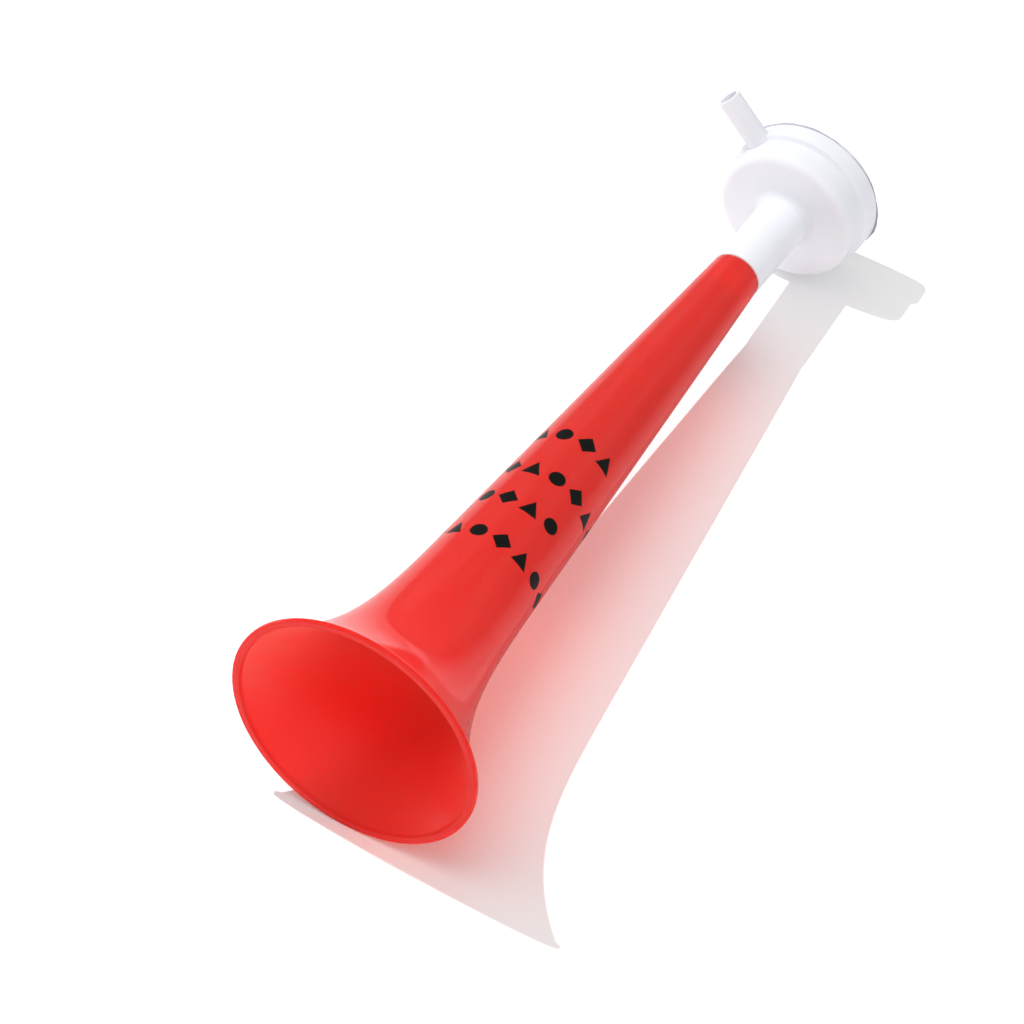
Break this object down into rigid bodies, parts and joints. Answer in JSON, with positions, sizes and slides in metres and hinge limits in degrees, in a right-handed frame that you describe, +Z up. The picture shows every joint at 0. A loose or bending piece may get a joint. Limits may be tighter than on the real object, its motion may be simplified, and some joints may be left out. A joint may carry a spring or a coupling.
{
  "type": "stadium horn",
  "caption": "Hand-held fan horn: a long flared red bell pushed on a white drum-shaped head with a side blow pipe and a diaphragm that buzzes when blown.",
  "frame": {"origin": "on the floor, under the middle of the horn as it lies on its bell rim and the collar of its head", "axes": "+Z up from the floor; +X along the horn, from the bell's mouth to the head; +Y to the side that the blow pipe leans to"},
  "size_m": [0.311, 0.0898, 0.0897],
  "materials": {
    "bell_red": "glossy translucent red moulding",
    "head_white": "glossy opaque white moulding",
    "pipe_white": "satin, slightly translucent white tube",
    "film_dark": "thin glossy dark film"
  },
  "bodies": {
    "head": {"head_front": "head_white", "head_back": "head_white"},
    "bell": {"bell": "bell_red"},
    "blow_pipe": {"blow_pipe": "pipe_white"},
    "clamp_ring": {"clamp_ring": "head_white"},
    "diaphragm": {"diaphragm": "film_dark"}
  },
  "joints": [
    {"name": "bell_pull", "type": "slide", "parent": "head", "child": "bell", "axis": [-0.9983, 0, 0.0587], "range_m": [0, 0.016]},
    {"name": "blow_pipe_pull", "type": "slide", "parent": "head", "child": "blow_pipe", "axis": [0.0408, 0.7193, 0.6935], "range_m": [0, 0.01]},
    {"name": "clamp_ring_pull", "type": "slide", "parent": "head", "child": "clamp_ring", "axis": [0.9983, 0, -0.0587], "range_m": [0, 0.006]},
    {"name": "diaphragm_lift", "type": "slide", "parent": "head", "child": "diaphragm", "axis": [0.9983, 0, -0.0587], "range_m": [0, 0.003]}
  ],
  "couplings": [
    {"joint": "diaphragm_lift", "follows": "clamp_ring_pull", "ratio": 0.5}
  ]
}
